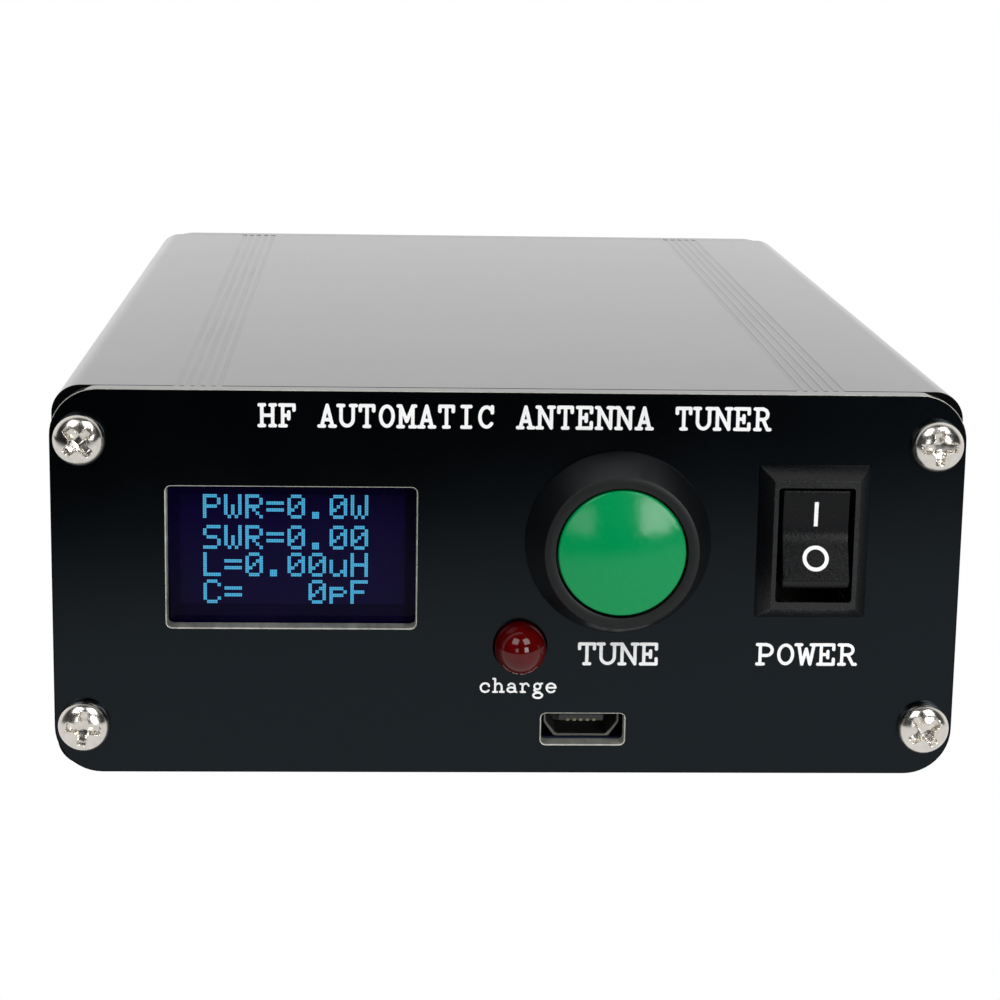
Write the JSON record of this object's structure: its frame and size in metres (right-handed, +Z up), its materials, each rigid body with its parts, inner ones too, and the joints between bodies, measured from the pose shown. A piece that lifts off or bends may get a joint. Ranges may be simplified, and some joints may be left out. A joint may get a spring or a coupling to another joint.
{
  "type": "antenna tuner",
  "caption": "Automatic antenna tuner in a flat black aluminium case: lit display, green tune button, rocker power switch, charge lamp and socket in front, coaxial sockets behind.",
  "frame": {"origin": "the middle of the case's underside, at the mount base", "axes": "+Z up, -Y out of the front panel towards the user, +Y out of the rear sockets, +X to the user's right"},
  "size_m": [0.088, 0.1499, 0.038],
  "materials": {
    "case": "black anodised, brushed along its depth",
    "panel": "black anodised, satin, bare where it is cut through",
    "screw": "nickel plated steel, polished",
    "display_glass": "dark polished glass of a lit display",
    "blue_board": "blue solder mask",
    "ribbon": "grey insulation",
    "button_housing": "black moulded nylon, satin",
    "button_cap": "green moulded plastic, smooth",
    "switch_plastic": "black moulded nylon, fine spark texture",
    "rocker_plastic": "black moulded nylon, fine spark texture",
    "nickel": "nickel plated",
    "brass": "stamped and turned brass",
    "red_lens": "clear red epoxy",
    "black_moulding": "moulded epoxy",
    "battery_wrap": "silver pouch foil",
    "red_wire": "PVC insulation",
    "green_board": "green solder mask",
    "relay_plastic": "blue moulded cans",
    "toroid_core": "painted iron powder core with its winding",
    "copper": "enamelled copper wire",
    "socket_insulator": "white PTFE"
  },
  "bodies": {
    "case": {"top_shell": "case", "bottom_shell": "case", "front_panel": "panel", "rear_panel": "panel", "front_screw_top_left": "screw", "front_screw_top_right": "screw", "front_screw_bottom_left": "screw", "front_screw_bottom_right": "screw", "rear_screw_top_left": "screw", "rear_screw_top_right": "screw", "rear_screw_bottom_left": "screw", "rear_screw_bottom_right": "screw", "display_glass": "display_glass", "display_board": "blue_board", "charger_board": "blue_board", "display_cable": "ribbon", "button_body": "button_housing", "switch_housing": "switch_plastic", "button_nut": "nickel", "button_spring": "nickel", "usb_shell": "nickel", "antenna_socket_shell": "nickel", "radio_socket_shell": "nickel", "antenna_socket_nut": "nickel", "radio_socket_nut": "nickel", "ground_screw": "nickel", "ground_nut": "nickel", "button_terminal_left": "brass", "button_terminal_right": "brass", "switch_terminal_common": "brass", "switch_terminal_on": "brass", "antenna_socket_contact": "brass", "radio_socket_contact": "brass", "charge_led": "red_lens", "usb_tongue": "black_moulding", "microcontroller": "black_moulding", "voltage_regulator": "black_moulding", "swr_transformer": "black_moulding", "battery": "battery_wrap", "battery_lead": "red_wire", "main_board": "green_board", "inductor_relays": "relay_plastic", "capacitor_relays": "relay_plastic", "network_relay": "relay_plastic", "toroid_1": "toroid_core", "toroid_2": "toroid_core", "toroid_3": "toroid_core", "toroid_4": "toroid_core", "air_coil_1": "copper", "air_coil_2": "copper", "air_coil_3": "copper", "antenna_wire": "copper", "radio_wire": "copper", "antenna_socket_insulator": "socket_insulator", "radio_socket_insulator": "socket_insulator"},
    "tune_button": {"button_cap": "button_cap", "button_contact": "brass"},
    "power_rocker": {"switch_rocker": "rocker_plastic", "switch_plunger": "brass"},
    "switch_contact": {"switch_blade": "brass"}
  },
  "joints": [
    {"name": "tune_press", "type": "slide", "parent": "case", "child": "tune_button", "axis": [0, 1, 0], "range_m": [0, 0.002], "stiffness_N_per_m": 500, "springref_m": -0.002, "deforming": ["button_spring"]},
    {"name": "power_rock", "type": "hinge", "parent": "case", "child": "power_rocker", "pos_m": [0.0294, -0.0613, 0.0236], "axis": [1, 0, 0], "range_deg": [0, 19.4]},
    {"name": "contact_rock", "type": "hinge", "parent": "case", "child": "switch_contact", "pos_m": [0.0294, -0.0571, 0.0236], "axis": [1, 0, 0], "range_deg": [-10, 0]}
  ],
  "couplings": [
    {"joint": "contact_rock", "follows": "power_rock", "ratio": -0.515}
  ]
}
